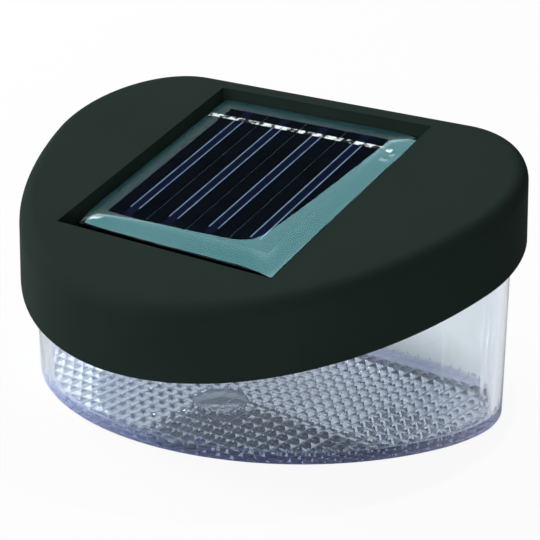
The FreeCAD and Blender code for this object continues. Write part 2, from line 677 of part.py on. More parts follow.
# ---- solar panel ------------------------------------------------------------------------------------------
def panel_slab(low, high, grow=0.0):
    """Block over the panel's whole face, in the slope's frame."""
    half_u = PANEL_WIDTH / 2 + grow
    half_v = PANEL_LENGTH / 2 + grow
    return block(PANEL_U - half_u, PANEL_U + half_u, PANEL_V - half_v, PANEL_V + half_v, low, high)


def panel_board():
    """Board that carries the solar cells."""
    return panel_slab(BOARD_W, SOLAR_W)


def panel_adhesive():
    """Bead of sealant between the recess's floor and the panel's board."""
    outer = panel_slab(-RECESS_DEPTH, BOARD_W, -3.0)
    return outer.cut(panel_slab(-RECESS_DEPTH - 1, BOARD_W + 1, -7.0))


def solar_cell(index):
    """One of the four strips of silicon."""
    u = SOLAR_FIRST_U + index * SOLAR_PITCH
    return block(u - SOLAR_WIDTH / 2, u + SOLAR_WIDTH / 2, SOLAR_BACK_V - SOLAR_LENGTH, SOLAR_BACK_V,
                 SOLAR_W, SOLAR_W + SOLAR_THICK)


def cell_busbars():
    """Printed silver lines, two along each cell."""
    low = SOLAR_W + SOLAR_THICK
    back = RIBBON_V - RIBBON_WIDTH / 2
    bars = []
    for index in range(SOLAR_COUNT):
        for side in (-1, 1):
            u = SOLAR_FIRST_U + index * SOLAR_PITCH + side * BUSBAR_HALF_GAP
            bars.append(block(u - BUSBAR_WIDTH / 2, u + BUSBAR_WIDTH / 2, back - BUSBAR_LENGTH, back,
                              low, low + BUSBAR_THICK))
    return bars


def tab_ribbons():
    """Tinned strips across the rear ends of the cells, in one row."""
    low = SOLAR_W + SOLAR_THICK
    ribbons = []
    start, end = RIBBON_ROW
    pitch = (end - start + RIBBON_GAP) / SOLAR_COUNT
    for index in range(SOLAR_COUNT):
        u = start + index * pitch
        ribbons.append(block(u, u + pitch - RIBBON_GAP, RIBBON_V - RIBBON_WIDTH / 2, RIBBON_V + RIBBON_WIDTH / 2,
                             low, low + RIBBON_THICK))
    return ribbons


def epoxy_cover():
    """Clear resin poured over the cells, with a soft rounded lip."""
    cover = panel_slab(SOLAR_W, SOLAR_W + EPOXY_THICK)
    corners = [edge for edge in cover.Edges if abs(edge.tangentAt(edge.FirstParameter).z) > 0.9]
    cover = cover.makeFillet(1.5, corners)
    top = [face for face in cover.Faces if face.normalAt(0, 0).z > 0.9][0]
    cover = cover.makeFillet(0.9, top.Edges)
    inside = [solar_cell(index) for index in range(SOLAR_COUNT)] + cell_busbars() + tab_ribbons()
    return cover.cut(inside)


# ---- export -----------------------------------------------------------------------------------------------
def solids_of(shapes):
    """One shape or a list of shapes, as a flat list of solids."""
    if not isinstance(shapes, list):
        shapes = [shapes]
    return [solid for shape in shapes for solid in shape.Solids]


def build_nodes():
    """Every sub-part by name."""
    nodes = {
        "lens_cup": lens_cup(),
        "top_cover": top_cover(),
        "base_tray": base_tray(),
        "tray_screws": tray_screws(),
        "battery_door": battery_door(),
        "battery_cell": battery_cell(),
        "battery_sleeve": battery_sleeve(),
        "positive_contact": contact_sheet(-1),
        "negative_contact": contact_sheet(1),
        "contact_spring": contact_spring(),
        "circuit_board": circuit_board(),
        "board_screws": board_screws(),
        "led_left": led(-1),
        "led_right": led(1),
        "led_leads": led_leads(),
        "switch_body": switch_body(),
        "switch_slider": switch_slider(),
        "choke": choke(),
        "driver_chip": driver_chip(),
        "panel_wire_red": panel_wire(0),
        "panel_wire_black": panel_wire(1),
        "battery_wire_red": battery_wire(-1),
        "battery_wire_black": battery_wire(1),
        "panel_board": on_slope(panel_board()),
        "panel_adhesive": on_slope(panel_adhesive()),
        "cell_busbars": [on_slope(bar) for bar in cell_busbars()],
        "tab_ribbons": [on_slope(ribbon) for ribbon in tab_ribbons()],
        "epoxy_cover": on_slope(epoxy_cover()),
    }
    for index in range(SOLAR_COUNT):
        nodes[f"solar_cell_{index + 1}"] = on_slope(solar_cell(index))
    return nodes


def main():
    """Writes one STEP file per sub-part."""
    os.makedirs("parts", exist_ok=True)
    for name, shapes in build_nodes().items():
        solids = solids_of(shapes)
        shape = solids[0] if len(solids) == 1 else Part.makeCompound(solids)
        if not shape.isValid():
            raise ValueError(f"{name} is not a valid shape")
        shape.exportStep(f"parts/{name}.step")
        box = shape.optimalBoundingBox()
        print(f"{name}: {len(solids)} solid(s), {shape.Volume:.2f} mm3, "
              f"x {box.XMin:.2f}..{box.XMax:.2f}, y {box.YMin:.2f}..{box.YMax:.2f}, z {box.ZMin:.2f}..{box.ZMax:.2f}")


main()
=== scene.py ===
"""Looks of a solar fence light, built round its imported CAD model.

Metres. +X runs along the fence, +Y points at the fence, +Z is up, and the lens cup stands on z = 0. The cap's top
slopes down towards the front. The CAD nodes keep their shape and get their finishes here. Only the clear resin over the
solar cells is modelled here, because its lip and its soft dome are too fine a sheet for the CAD model.
"""

import logging
import math
from dataclasses import dataclass, field
from enum import Enum
from typing import Any, Callable

import bmesh
import bpy
from mathutils import Matrix, Vector


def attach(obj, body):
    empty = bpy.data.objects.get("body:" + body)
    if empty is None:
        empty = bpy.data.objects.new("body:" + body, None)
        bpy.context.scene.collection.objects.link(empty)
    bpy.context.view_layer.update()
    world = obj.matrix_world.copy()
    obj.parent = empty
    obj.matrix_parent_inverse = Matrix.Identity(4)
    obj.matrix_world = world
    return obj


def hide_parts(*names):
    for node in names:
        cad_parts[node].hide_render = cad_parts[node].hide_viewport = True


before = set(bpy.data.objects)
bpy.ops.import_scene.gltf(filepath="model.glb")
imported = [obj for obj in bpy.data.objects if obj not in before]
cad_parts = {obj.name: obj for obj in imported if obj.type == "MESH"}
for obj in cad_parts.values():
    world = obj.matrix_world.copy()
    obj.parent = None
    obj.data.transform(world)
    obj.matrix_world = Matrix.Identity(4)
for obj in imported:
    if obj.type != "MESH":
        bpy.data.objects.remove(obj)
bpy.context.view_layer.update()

LOG = logging.getLogger("fence_light")

MM = 0.001
IMAGE_SIZE = 540              # pixels, both ways
SLOPE = math.radians(18.5)    # fall of the cap's top towards the front
BACK_Y = 37.0 * MM            # face that lies on the fence
CAP_LEVEL = 55.3 * MM         # height of the cap's top plane over the back face
CAP_BODY = "cap"              # body of the CAD model that the new piece rides on
WHITE = (1.0, 1.0, 1.0, 1.0)

Colour = tuple[float, float, float, float]
Tree = bpy.types.NodeTree
Socket = bpy.types.NodeSocket


class Ray(Enum):
    """The kinds of ray that a finish or the sky tells apart."""

    CAMERA = "Is Camera Ray"
    GLOSSY = "Is Glossy Ray"
    SHADOW = "Is Shadow Ray"
    TRANSMISSION = "Is Transmission Ray"


# ---- nodes ------------------------------------------------------------------------------------------------
def linear(hex_colour: str) -> Colour:
    """Turns an sRGB hex colour into linear values by the sRGB curve.

    Args:
        hex_colour: six hex digits.

    Returns:
        Linear red, green and blue, and 1 for alpha.
    """
    values = []
    for start in (0, 2, 4):
        share = int(hex_colour[start:start + 2], 16) / 255
        values.append(share / 12.92 if share <= 0.04045 else ((share + 0.055) / 1.055) ** 2.4)
    return values[0], values[1], values[2], 1.0


def per_metre(size_mm: float) -> float:
    """Texture scale whose features are about this many millimetres wide."""
    return 1000.0 / size_mm


def add(tree: Tree, kind: str, inputs: dict[Any, Any] | None = None, **settings: Any) -> bpy.types.Node:
    """Adds a node with its settings and links.

    Args:
        tree: the node tree.
        kind: the node's type without its ShaderNode prefix.
        inputs: input name or index, with a value or with the output socket that feeds it.
        settings: the node's own properties.

    Returns:
        The new node.
    """
    node = tree.nodes.new("ShaderNode" + kind)
    for name, value in settings.items():
        setattr(node, name, value)
    for name, value in (inputs or {}).items():
        if isinstance(value, bpy.types.NodeSocket):
            tree.links.new(value, node.inputs[name])
        else:
            node.inputs[name].default_value = value
    return node


def compute(tree: Tree, operation: str, *values: Any) -> Socket:
    """Result of one operation.

    Args:
        tree: the node tree.
        operation: the Math node's operation.
        values: numbers, or the sockets they come from.

    Returns:
        The socket that gives the result.
    """
    return add(tree, "Math", dict(enumerate(values)), operation=operation).outputs[0]


def remap(tree: Tree, value: Socket, source: tuple[float, float], target: tuple[float, float] = (0.0, 1.0),
          **settings: Any) -> Socket:
    """Takes one range of values to another, and holds it at both ends.

    Args:
        tree: the node tree.
        value: what is remapped.
        source: the values that give the ends of the target.
        target: the two ends.
        settings: the node's own properties.

    Returns:
        The socket that gives the result.
    """
    return add(tree, "MapRange", {"Value": value, "From Min": source[0], "From Max": source[1],
                                  "To Min": target[0], "To Max": target[1]}, **settings).outputs[0]


def noise(tree: Tree, place: Socket, size_mm: float, detail: float) -> Socket:
    """Soft noise with patches of a real size.

    Args:
        tree: the node tree.
        place: object coordinates.
        size_mm: about how wide a patch is.
        detail: how many finer layers are added.

    Returns:
        The socket that gives the noise.
    """
    return add(tree, "TexNoise", {"Vector": place, "Scale": per_metre(size_mm), "Detail": detail}).outputs["Fac"]


def ramp(tree: Tree, factor: Socket, first: tuple[float, str], last: tuple[float, str]) -> Socket:
    """Colour that runs from one to another over a factor.

    Args:
        tree: the node tree.
        factor: what the ramp reads.
        first: place and sRGB hex colour of the lower stop.
        last: place and sRGB hex colour of the upper stop.

    Returns:
        The socket that gives the colour.
    """
    node = add(tree, "ValToRGB", {"Fac": factor})
    for element, (place, hex_colour) in zip(node.color_ramp.elements, (first, last)):
        element.position = place
        element.color = linear(hex_colour)
    return node.outputs["Color"]


def bump(tree: Tree, height: Socket, strength: float, depth_mm: float) -> Socket:
    """Normals of a fine relief.

    Args:
        tree: the node tree.
        height: what the relief follows.
        strength: how much of it is felt.
        depth_mm: its depth.

    Returns:
        The socket that gives the normals.
    """
    return add(tree, "Bump", {"Height": height, "Strength": strength, "Distance": depth_mm * MM}).outputs["Normal"]


def mix_colours(tree: Tree, share: Socket, first: Any, second: Any) -> Socket:
    """Blends two colours.

    Args:
        tree: the node tree.
        share: 0 for the first colour and 1 for the second.
        first: a linear colour or its socket.
        second: a linear colour or its socket.

    Returns:
        The socket that gives the colour.
    """
    return add(tree, "Mix", {0: share, 6: first, 7: second}, data_type="RGBA").outputs[2]


def mix_shaders(tree: Tree, share: Socket, first: Socket, second: Socket) -> Socket:
    """Blends two shaders.

    Args:
        tree: the node tree.
        share: 0 for the first shader and 1 for the second.
        first: a shader's socket.
        second: a shader's socket.

    Returns:
        The socket that gives the blend.
    """
    return add(tree, "MixShader", {0: share, 1: first, 2: second}).outputs[0]


def ray(tree: Tree, kind: Ray) -> Socket:
    """Socket that is 1 for one kind of ray and 0 for the rest."""
    return add(tree, "LightPath").outputs[kind.value]


def seen(tree: Tree) -> Socket:
    """Socket that is 1 for what the camera sees directly or through clear plastic."""
    return compute(tree, "MAXIMUM", ray(tree, Ray.CAMERA), ray(tree, Ray.TRANSMISSION))


def let_light_through(tree: Tree, shader: Socket, tint: str) -> Socket:
    """Lets lamps shine through a clear shader, so that it throws only a tinted shadow.

    Args:
        tree: the node tree.
        shader: the clear shader's socket.
        tint: sRGB hex colour of the light that comes through.

    Returns:
        The socket that gives the blend.
    """
    through = add(tree, "BsdfTransparent", {"Color": linear(tint)}).outputs[0]
    return mix_shaders(tree, ray(tree, Ray.SHADOW), shader, through)


# ---- finishes ---------------------------------------------------------------------------------------------
@dataclass(frozen=True)
class Finish:
    """A material of nodes. Each kind of finish has its own surface, and a clear one may tint its depth."""

    name: str

    def material(self) -> bpy.types.Material:
        """Builds the material."""
        material = bpy.data.materials.new(self.name)
        material.use_nodes = True
        tree = material.node_tree
        tree.nodes.clear()
        output = add(tree, "OutputMaterial")
        tree.links.new(self.surface(tree, add(tree, "TexCoord").outputs["Object"]), output.inputs["Surface"])
        depth = self.depth(tree)
        if depth is not None:
            tree.links.new(depth, output.inputs["Volume"])
        return material

    def surface(self, tree: Tree, place: Socket) -> Socket:
        """Adds the nodes of the surface.

        Args:
            tree: the material's nodes.
            place: object coordinates in metres.

        Returns:
            The socket of its shader.
        """
        raise NotImplementedError

    def depth(self, tree: Tree) -> Socket | None:
        """Adds the nodes of what lies under the surface, where there are any.

        Args:
            tree: the material's nodes.

        Returns:
            The socket of its shader, or None.
        """
        return None


@dataclass(frozen=True)
class MouldedPlastic(Finish):
    """Thermoplastic from a spark-eroded steel mould, or a lacquer or film just as even.

    The mould leaves a fine grain, so highlights spread into a soft sheen, and slow differences in cooling leave large,
    faint clouds in tone and gloss.
    """

    colour: str
    worn: str
    roughness: float = 0.5
    gloss_spread: float = 0.05
    grain_mm: float = 0.35
    grain_depth_mm: float = 0.006
    cloud_mm: float = 18.0
    specular: float = 0.3
    ior: float = 1.53

    def surface(self, tree: Tree, place: Socket) -> Socket:
        """Adds the nodes of the surface: clouds in tone and gloss, and the mould's grain.

        Args:
            tree: the material's nodes.
            place: object coordinates in metres.

        Returns:
            The socket of its shader.
        """
        cloud = noise(tree, place, self.cloud_mm, 3.0)
        gloss = remap(tree, cloud, (0.3, 0.7), (self.roughness - self.gloss_spread, self.roughness + self.gloss_spread))
        grain = bump(tree, noise(tree, place, self.grain_mm, 2.0), 0.5, self.grain_depth_mm)
        return add(tree, "BsdfPrincipled", {
            "Base Color": ramp(tree, cloud, (0.35, self.colour), (0.7, self.worn)), "Roughness": gloss,
            "Normal": grain, "Specular IOR Level": self.specular, "IOR": self.ior}).outputs[0]


@dataclass(frozen=True)
class ClearStyrene(Finish):
    """Clear styrene from a polished steel mould.

    It bends what is seen through it as glass does. Faint flow marks blur it in places, and its depth absorbs towards
    violet-blue, so thick sections look violet-blue where the eye looks along them. The floor plate's darker violet tint
    is painted shade, and the pale lines along its valleys are painted highlights.
    """

    tint: str
    roughness: float = 0.03
    ior: float = 1.56
    flow_mm: float = 14.0
    depth_colour: str = ""
    depth_density: float = 0.0
    # painted shade: darker violet tint given to the floor plate
    floor_shade_tint: str = ""
    shade_tint_levels_mm: tuple[float, float] = (2.3, 1.7)        # heights at which the floor's painted shade tint starts and is full
    valley_levels_mm: tuple[float, float] = (1.9, 2.6)      # heights between which the valleys lie
    valley_pitch_mm: float = 2.8
    valley_rear_mm: float = 27.7                            # y of the valley behind the last row of pyramids
    valley_widths_mm: tuple[float, float] = (0.2, 0.12)     # from a valley's middle: where it starts and is full
    # painted highlight: share and colour of the pale line along each valley
    valley_highlight_share: float = 0.55
    valley_highlight_colour: str = "dfe9f2"

    def surface(self, tree: Tree, place: Socket) -> Socket:
        """Adds the nodes of the surface: flow marks, and the floor's valleys where there is a floor.

        Args:
            tree: the material's nodes.
            place: object coordinates in metres.

        Returns:
            The socket of its shader.
        """
        flow = remap(tree, noise(tree, place, self.flow_mm, 1.0), (0.35, 0.75), (0.0, self.roughness))
        clear = add(tree, "BsdfPrincipled", {"Base Color": linear(self.tint), "Roughness": flow, "IOR": self.ior,
                                             "Transmission Weight": 1.0})
        shader = self.paint_floor_shade_and_glints(tree, place, clear) if self.floor_shade_tint else clear.outputs[0]
        return let_light_through(tree, shader, self.tint)

    def paint_floor_shade_and_glints(self, tree: Tree, place: Socket, clear: bpy.types.Node) -> Socket:
        """Paints shade into the floor plate as a darker violet tint, and paints a highlight line along each of the
        pyramids' valleys.

        The mould's edges round off the valleys between the pyramids, and the glint of each is painted as a thin pale
        line.

        Args:
            tree: the material's nodes.
            place: object coordinates in metres.
            clear: the clear plastic, which is given the painted shade tint.

        Returns:
            The socket of the shader with the painted valley highlights mixed in.
        """
        axes = add(tree, "SeparateXYZ", {"Vector": place}).outputs
        # painted shade: the floor plate below a set height is tinted darker violet
        floor_shade_share = remap(tree, axes["Z"], tuple(level * MM for level in self.shade_tint_levels_mm))
        tree.links.new(mix_colours(tree, floor_shade_share, linear(self.tint), linear(self.floor_shade_tint)), clear.inputs["Base Color"])
        half_pitch = self.valley_pitch_mm / 2 * MM
        across = compute(tree, "PINGPONG", axes["X"], half_pitch)
        from_rear = compute(tree, "SUBTRACT", axes["Y"], self.valley_rear_mm * MM)
        along = compute(tree, "PINGPONG", from_rear, half_pitch)
        nearest = compute(tree, "MINIMUM", across, along)
        line = remap(tree, nearest, tuple(width * MM for width in self.valley_widths_mm))
        lowest, highest = self.valley_levels_mm
        layer = compute(tree, "MULTIPLY", compute(tree, "GREATER_THAN", axes["Z"], lowest * MM),
                        compute(tree, "LESS_THAN", axes["Z"], highest * MM))
        share = compute(tree, "MULTIPLY", compute(tree, "MULTIPLY", line, layer), self.valley_highlight_share)
        # painted highlight: a pale diffuse line along each valley stands in for its glint
        light = add(tree, "BsdfDiffuse", {"Color": linear(self.valley_highlight_colour)}).outputs[0]
        return mix_shaders(tree, share, clear.outputs[0], light)

    def depth(self, tree: Tree) -> Socket | None:
        """Adds the tint of thick sections, where there is one.

        Args:
            tree: the material's nodes.

        Returns:
            The socket of its shader, or None.
        """
        if not self.depth_density:
            return None
        return add(tree, "VolumeAbsorption", {"Color": linear(self.depth_colour),
                                              "Density": self.depth_density}).outputs[0]


@dataclass(frozen=True)
class CastResin(Finish):
    """Two-part epoxy poured over the solar cells and left to set.

    Surface tension draws it smooth, so it mirrors the overhead lamp as a sharp teal shape, with a slow waviness where
    it set unevenly.
    """

    tint: str
    sheen_tint: str
    roughness: float = 0.04
    ior: float = 1.54
    wave_mm: float = 7.0
    wave_depth_mm: float = 0.02

    def surface(self, tree: Tree, place: Socket) -> Socket:
        """Adds the nodes of the surface.

        Args:
            tree: the material's nodes.
            place: object coordinates in metres.

        Returns:
            The socket of its shader.
        """
        waves = bump(tree, noise(tree, place, self.wave_mm, 1.0), 0.2, self.wave_depth_mm)
        clear = add(tree, "BsdfPrincipled", {
            "Base Color": linear(self.tint), "Roughness": self.roughness, "IOR": self.ior, "Transmission Weight": 1.0,
            "Specular Tint": linear(self.sheen_tint), "Normal": waves}).outputs[0]
        return let_light_through(tree, clear, self.tint)


@dataclass(frozen=True)
class PlatedSteel(Finish):
    """Rolled or drawn steel with a thin nickel or zinc plating.

    Drawing leaves fine lines along the metal, and the plating bath leaves small cloudy differences in gloss.
    """

    colour: str
    lit: str = "c9c9c6"
    roughness: float = 0.32
    line_mm: float = 4.0
    line_stretch: float = 12.0
    line_depth_mm: float = 0.003
    cloud_mm: float = 3.0

    def surface(self, tree: Tree, place: Socket) -> Socket:
        """Adds the nodes of the surface.

        Args:
            tree: the material's nodes.
            place: object coordinates in metres.

        Returns:
            The socket of its shader.
        """
        stretched = add(tree, "Mapping", {"Vector": place,
                                          "Scale": (1.0, self.line_stretch, self.line_stretch)}).outputs[0]
        lines = noise(tree, stretched, self.line_mm, 4.0)
        gloss = remap(tree, noise(tree, place, self.cloud_mm, 2.0), (0.3, 0.7),
                      (self.roughness - 0.08, self.roughness + 0.1))
        return add(tree, "BsdfPrincipled", {
            "Base Color": ramp(tree, lines, (0.3, self.colour), (0.8, self.lit)), "Metallic": 1.0, "Roughness": gloss,
            "Normal": bump(tree, lines, 0.3, self.line_depth_mm)}).outputs[0]


@dataclass(frozen=True)
class Silicon(Finish):
    """Monocrystalline silicon, sawn, etched and coated against reflections.

    The coating leaves it nearly black with a breath of blue. Hair-thin fingers are printed across each strip, and the
    band between its two silver lines is a little bluer.
    """

    colour: str
    finger: str
    band: str
    finger_pitch_mm: float = 1.6
    first_u_mm: float = -16.5         # middle of the first strip
    pitch_u_mm: float = 10.4          # from strip to strip
    band_half_mm: float = 1.1
    band_blur_mm: float = 0.1
    cloud_mm: float = 6.0

    def surface(self, tree: Tree, place: Socket) -> Socket:
        """Adds the nodes of the surface.

        Args:
            tree: the material's nodes.
            place: object coordinates in metres.

        Returns:
            The socket of its shader.
        """
        across = add(tree, "SeparateXYZ", {"Vector": place}).outputs["X"]
        along = compute(tree, "SUBTRACT", across, (self.first_u_mm - self.pitch_u_mm / 2) * MM)
        in_strip = compute(tree, "FLOORED_MODULO", along, self.pitch_u_mm * MM)
        distance = compute(tree, "ABSOLUTE", compute(tree, "SUBTRACT", in_strip, self.pitch_u_mm * MM / 2))
        in_band = remap(tree, distance, ((self.band_half_mm + self.band_blur_mm) * MM,
                                         (self.band_half_mm - self.band_blur_mm) * MM),
                        interpolation_type="SMOOTHSTEP")
        base = ramp(tree, noise(tree, place, self.cloud_mm, 2.0), (0.3, self.colour), (0.75, self.finger))
        tinted = mix_colours(tree, in_band, base, linear(self.band))
        waves = add(tree, "TexWave", {"Vector": place, "Scale": per_metre(self.finger_pitch_mm) / 2 / math.pi,
                                      "Distortion": 0.0}, bands_direction="Y", wave_profile="SIN").outputs["Fac"]
        fingers = remap(tree, waves, (0.985, 1.0))
        return add(tree, "BsdfPrincipled", {
            "Base Color": mix_colours(tree, fingers, tinted, linear(self.finger)), "Roughness": 0.5,
            "Specular IOR Level": 0.0}).outputs[0]


@dataclass(frozen=True)
class PrintedSilver(Finish):
    """Fired silver paste, or copper strip dipped in tin.

    Paste and solder set unevenly, which the bump follows. The colour is painted in the same random patches: a light
    tone as painted glints where the metal would lie flat to the light, and a dark tone as painted shade beside them.
    """

    # painted glint tone, then painted shade tone
    glint_tone: str
    shaded_tone: str
    patch_mm: float = 2.2
    # share of the patches that gets the painted shade tone
    shaded_share: float = 0.45
    patch_blur: float = 0.06
    patch_depth_mm: float = 0.05

    def surface(self, tree: Tree, place: Socket) -> Socket:
        """Adds the nodes of the surface.

        Args:
            tree: the material's nodes.
            place: object coordinates in metres.

        Returns:
            The socket of its shader.
        """
        patch = noise(tree, place, self.patch_mm, 3.0)
        # painted glints and painted shade: random patches of a light and a dark tone
        colour = ramp(tree, patch, (self.shaded_share - self.patch_blur, self.shaded_tone),
                      (self.shaded_share + self.patch_blur, self.glint_tone))
        return add(tree, "BsdfPrincipled", {
            "Base Color": colour, "Metallic": 0.0, "Specular IOR Level": 0.1, "Roughness": 0.45,
            "Normal": bump(tree, patch, 0.6, self.patch_depth_mm)}).outputs[0]


@dataclass(frozen=True)
class TableTop(Finish):
    """Matte white board. It isn't part of the object.

    Under the lens cup it is a painted surface in the cap's shade, as seen through the cup. Further out it is as white
    as the backdrop apart from a trace of the object's soft shadow. From below it isn't there at all.
    """

    colour: str = "f6f7f8"
    painted_to: tuple[float, float] = (0.042, 0.06)    # metres from the middle: the plain white starts, and is full
    beyond_share: float = 0.95
    plain_share: float = 0.92                          # of the plain white, where the camera sees the board directly

    def surface(self, tree: Tree, place: Socket) -> Socket:
        """Adds the nodes of the surface.

        Args:
            tree: the material's nodes.
            place: object coordinates in metres.

        Returns:
            The socket of its shader.
        """
        paint = add(tree, "BsdfDiffuse", {"Color": linear(self.colour), "Roughness": 0.0}).outputs[0]
        plain = add(tree, "Emission", {"Color": WHITE, "Strength": 1.0}).outputs[0]
        out = add(tree, "VectorMath", {0: place}, operation="LENGTH").outputs["Value"]
        beyond = remap(tree, out, self.painted_to, (0.0, self.beyond_share))
        direct = compute(tree, "MULTIPLY", ray(tree, Ray.CAMERA), self.plain_share)
        share = compute(tree, "MULTIPLY", seen(tree), compute(tree, "MAXIMUM", beyond, direct))
        from_below = add(tree, "NewGeometry").outputs["Backfacing"]
        nothing = add(tree, "BsdfTransparent").outputs[0]
        return mix_shaders(tree, from_below, mix_shaders(tree, share, paint, plain), nothing)


def dress(piece: bpy.types.Object, material: bpy.types.Material) -> None:
    """Gives a piece one material all over."""
    piece.data.materials.clear()
    piece.data.materials.append(material)


def dress_nodes(finish: Finish, *names: str) -> None:
    """Gives CAD nodes one finish.

    Args:
        finish: the finish.
        names: the nodes' names.
    """
    material = finish.material()
    for name in names:
        dress(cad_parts[name], material)
        LOG.info("%s: %s", name, finish.name)


# ---- pieces -----------------------------------------------------------------------------------------------
def select_only(piece: bpy.types.Object) -> None:
    """Makes a piece the only selected and the active one."""
    if bpy.context.mode != "OBJECT":
        bpy.ops.object.mode_set(mode="OBJECT")
    bpy.ops.object.select_all(action="DESELECT")
    piece.select_set(True)
    bpy.context.view_layer.objects.active = piece


def start_piece(name: str) -> bpy.types.Object:
    """Names the primitive that was just added and makes it the only selected piece."""
    piece = bpy.context.active_object
    piece.name = name
    piece.data.name = name
    select_only(piece)
    return piece


def pick(piece: bpy.types.Object, wanted: Callable[[bmesh.types.BMVert], bool]) -> None:
    """Selects the vertices of a piece that pass a test, and stays in edit mode."""
    if bpy.context.mode != "EDIT_MESH":
        bpy.ops.object.mode_set(mode="EDIT")
    bpy.ops.mesh.select_mode(type="VERT")
    bpy.ops.mesh.select_all(action="DESELECT")
    shape = bmesh.from_edit_mesh(piece.data)
    for vertex in shape.verts:
        if wanted(vertex):
            vertex.select = True
    shape.select_flush_mode()
    bmesh.update_edit_mesh(piece.data)


def to_slope() -> Matrix:
    """Placement of the slope's frame: u along X, v up the slope, w out of the cap's top."""
    height = CAP_LEVEL - BACK_Y * math.tan(SLOPE)
    return Matrix.Translation((0.0, 0.0, height)) @ Matrix.Rotation(SLOPE, 4, "X")


# ---- studio -----------------------------------------------------------------------------------------------
@dataclass
class Studio:
    """Camera, lamps, floor and backdrop of the photograph."""

    azimuth: float = math.radians(38.11)
    elevation: float = math.radians(19.74)
    distance: float = 345.038 * MM
    focal_px: float = 1633.276
    target: Vector = field(default_factory=lambda: Vector((0.0, 13.968 * MM, 21.678 * MM)))
    sensor_mm: float = 36.0
    ambient: float = 0.2                                 # plain light from all round
    horizon_rise: tuple[float, float] = (0.02, 0.16)     # share of up: where the mirrored sky starts to darken and ends
    mirrored_sky: tuple[float, float] = (0.7, 0.02)      # its brightness below and above that
    floor_radius: float = 3.0
    lamps_aim: Vector = field(default_factory=lambda: Vector((0.0, 0.0, 0.03)))

    def build(self) -> None:
        """Sets up everything that isn't part of the object."""
        self.camera()
        self.world()
        self.floor()
        self.lamps()
        bpy.context.scene.view_settings.view_transform = "Standard"

    def camera(self) -> None:
        """Camera at the photograph's angle and distance."""
        level = math.cos(self.elevation)
        towards = Vector((math.sin(self.azimuth) * level, -math.cos(self.azimuth) * level, math.sin(self.elevation)))
        data = bpy.data.cameras.new("camera")
        data.sensor_width = self.sensor_mm
        data.lens = self.focal_px / IMAGE_SIZE * self.sensor_mm
        data.clip_start = 0.01
        camera = bpy.data.objects.new("camera", data)
        camera.location = self.target + towards * self.distance
        camera.rotation_euler = (-towards).to_track_quat("-Z", "Y").to_euler()
        bpy.context.scene.collection.objects.link(camera)
        bpy.context.scene.camera = camera

    def world(self) -> None:
        """White backdrop for the camera and through the lens, and a plain soft sky for everything else."""
        world = bpy.data.worlds.new("studio")
        world.use_nodes = True
        tree = world.node_tree
        tree.nodes.clear()
        up = add(tree, "SeparateXYZ", {"Vector": add(tree, "TexCoord").outputs["Generated"]}).outputs["Z"]
        glossy = ray(tree, Ray.GLOSSY)
        mirrored = compute(tree, "MULTIPLY", glossy, remap(tree, up, self.horizon_rise, self.mirrored_sky))
        ambient = compute(tree, "MULTIPLY", compute(tree, "SUBTRACT", 1.0, glossy), self.ambient)
        soft = compute(tree, "ADD", ambient, mirrored)
        strength = add(tree, "Mix", {0: seen(tree), 2: soft, 3: 1.0}, data_type="FLOAT").outputs[0]
        sky = add(tree, "Background", {"Color": WHITE, "Strength": strength}).outputs[0]
        tree.links.new(sky, add(tree, "OutputWorld").inputs["Surface"])
        bpy.context.scene.world = world

    def floor(self) -> None:
        """Pale table top that keeps the object's soft shadow and melts into the backdrop."""
        bpy.ops.mesh.primitive_circle_add(vertices=96, radius=self.floor_radius, fill_type="NGON",
                                          location=(0.0, 0.0, 0.0))
        floor = start_piece("floor")
        dress(floor, TableTop("table_top").material())

    def lamps(self) -> None:
        """Soft key light from the left, a weak fill and the overhead box that the resin mirrors."""
        key = self.area("key", Vector((-0.85, -0.05, 0.62)), (0.55, 0.55), 10.0)
        key.visible_glossy = False
        self.area("fill", Vector((0.1, -1.0, 0.35)), (0.6, 0.4), 1.5)
        overhead = self.area("overhead", Vector((-0.145, -0.041, 0.6)), (1.25, 0.72), 11.0)
        overhead.rotation_euler = (0.0, 0.0, math.radians(43.0))
        overhead.visible_diffuse = False
        overhead.visible_transmission = False

    def area(self, name: str, place: Vector, size: tuple[float, float], power: float) -> bpy.types.Object:
        """Adds a rectangular lamp that faces the object.

        Args:
            name: the lamp's name.
            place: where it stands.
            size: its width and height in metres.
            power: its power in watts.

        Returns:
            The lamp.
        """
        data = bpy.data.lights.new(name, "AREA")
        data.shape = "RECTANGLE"
        data.size, data.size_y = size
        data.energy = power
        lamp = bpy.data.objects.new(name, data)
        lamp.location = place
        lamp.rotation_euler = (self.lamps_aim - place).to_track_quat("-Z", "Y").to_euler()
        lamp.visible_camera = False
        bpy.context.scene.collection.objects.link(lamp)
        return lamp


# ---- the cap and the lens cup -----------------------------------------------------------------------------
@dataclass
class Cap:
    """Sloping cap, the tray under it and what holds them together."""

    # Dark green-black ABS, grained so finely that hardly a highlight is left on it.
    plastic: MouldedPlastic = MouldedPlastic("abs_green_black", "28342f", "2b3733", roughness=0.6, specular=0.008)
    # Dark grey ABS, plainer and shinier, since it is hidden under the cap.
    tray_plastic: MouldedPlastic = MouldedPlastic("abs_grey", "4a5458", "51595c", specular=0.2)
    # Self-tapping screws, zinc plated: dull and slightly cloudy.
    screws: PlatedSteel = PlatedSteel("zinc_plated_steel", "8f8f8b")

    def finish(self) -> None:
        """Dresses the cap's nodes."""
        dress_nodes(self.plastic, "top_cover")
        dress_nodes(self.tray_plastic, "base_tray", "battery_door")
        dress_nodes(self.screws, "tray_screws", "board_screws")


@dataclass
class LensCup:
    """Clear cup with its prism floor."""

    # The floor plate gets painted shade as a darker violet tint, and painted highlight lines along its valleys.
    styrene: ClearStyrene = ClearStyrene("clear_styrene", "f2f8f9", depth_colour="8c8fe8", depth_density=24.0,
                                         floor_shade_tint="c4c8e6")

    def finish(self) -> None:
        """Dresses the cup."""
        dress_nodes(self.styrene, "lens_cup")


